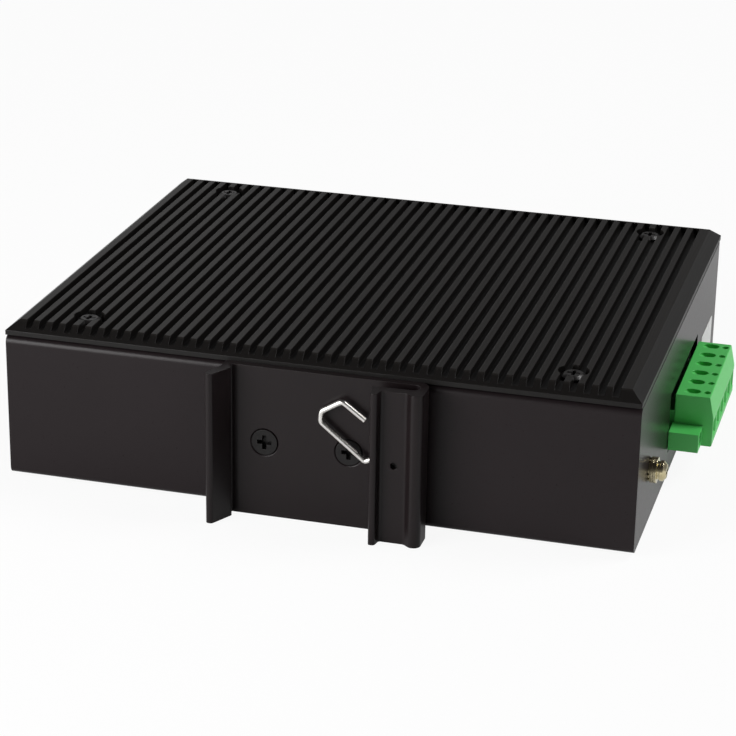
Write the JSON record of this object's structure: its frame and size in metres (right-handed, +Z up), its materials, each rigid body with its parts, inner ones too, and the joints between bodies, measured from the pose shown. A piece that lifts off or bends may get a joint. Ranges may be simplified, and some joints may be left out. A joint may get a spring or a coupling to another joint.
{
  "type": "rail-mounted ethernet switch",
  "caption": "Flat box-shaped industrial network switch with a finned cover, an extruded rail bracket with a wire spring, a pluggable screw terminal and stacked network ports.",
  "frame": {"origin": "bottom centre of the overall box, under the middle of switch, bracket and terminal plug together", "axes": "+X towards the end panel with the terminal plug and ground screw, -Y towards the rail bracket, +Y towards the network ports, +Z up through the finned cover"},
  "size_m": [0.1512, 0.1254, 0.0378],
  "materials": {
    "housing_steel": "matt charcoal powder coat",
    "cover_anodised": "black anodised",
    "bracket_anodised": "black anodised, satin",
    "black_screw_steel": "black zinc",
    "zinc_steel": "bright zinc",
    "spring_wire": "bright drawn wire",
    "yellow_zinc": "yellow zinc",
    "plug_green": "moulded, satin",
    "contact_tin": "tinned",
    "contact_gold": "gold flash",
    "board_laminate": "solder resist",
    "chip_body": "moulded",
    "pad_soft": "soft",
    "capacitor_sleeve": "sleeve",
    "relay_case": "moulded",
    "port_plastic": "moulded",
    "port_shield": "tinned",
    "bare_aluminium": "as milled",
    "light_lens": "diffuse lens"
  },
  "bodies": {
    "switch": {"rear_and_base_shell": "housing_steel", "front_shell": "housing_steel", "heat_sink_cover": "cover_anodised", "cover_screws": "black_screw_steel", "cover_posts": "zinc_steel", "board_spacers": "zinc_steel", "base_screws": "black_screw_steel", "shell_screws": "black_screw_steel", "shell_nuts": "zinc_steel", "din_bracket": "bracket_anodised", "bracket_screws": "black_screw_steel", "bracket_nuts": "zinc_steel", "din_spring": "spring_wire", "spring_pin": "spring_wire", "ground_screw": "yellow_zinc", "ground_lock_washer": "yellow_zinc", "ground_flat_washers": "yellow_zinc", "ground_toothed_washer": "yellow_zinc", "heat_spreader": "bare_aluminium", "ground_nut": "zinc_steel", "terminal_header": "port_plastic", "header_pins": "contact_tin", "circuit_board": "board_laminate", "switch_chip": "chip_body", "thermal_pad": "pad_soft", "support_chips": "chip_body", "line_transformers": "chip_body", "power_capacitors": "capacitor_sleeve", "power_inductors": "chip_body", "alarm_relay": "relay_case", "clock_crystal": "zinc_steel", "jack_housing": "port_plastic", "jack_shield": "port_shield", "jack_contacts": "contact_gold", "status_lights": "light_lens", "light_holder": "port_plastic"},
    "terminal_plug_body": {"terminal_plug": "plug_green", "plug_clamp_screws": "zinc_steel", "plug_wire_clamps": "zinc_steel", "plug_contacts": "contact_tin", "plug_flange_screws": "zinc_steel"}
  },
  "joints": [
    {"name": "plug_pull", "type": "slide", "parent": "switch", "child": "terminal_plug_body", "axis": [1, 0, 0], "range_m": [0, 0.0095]}
  ]
}
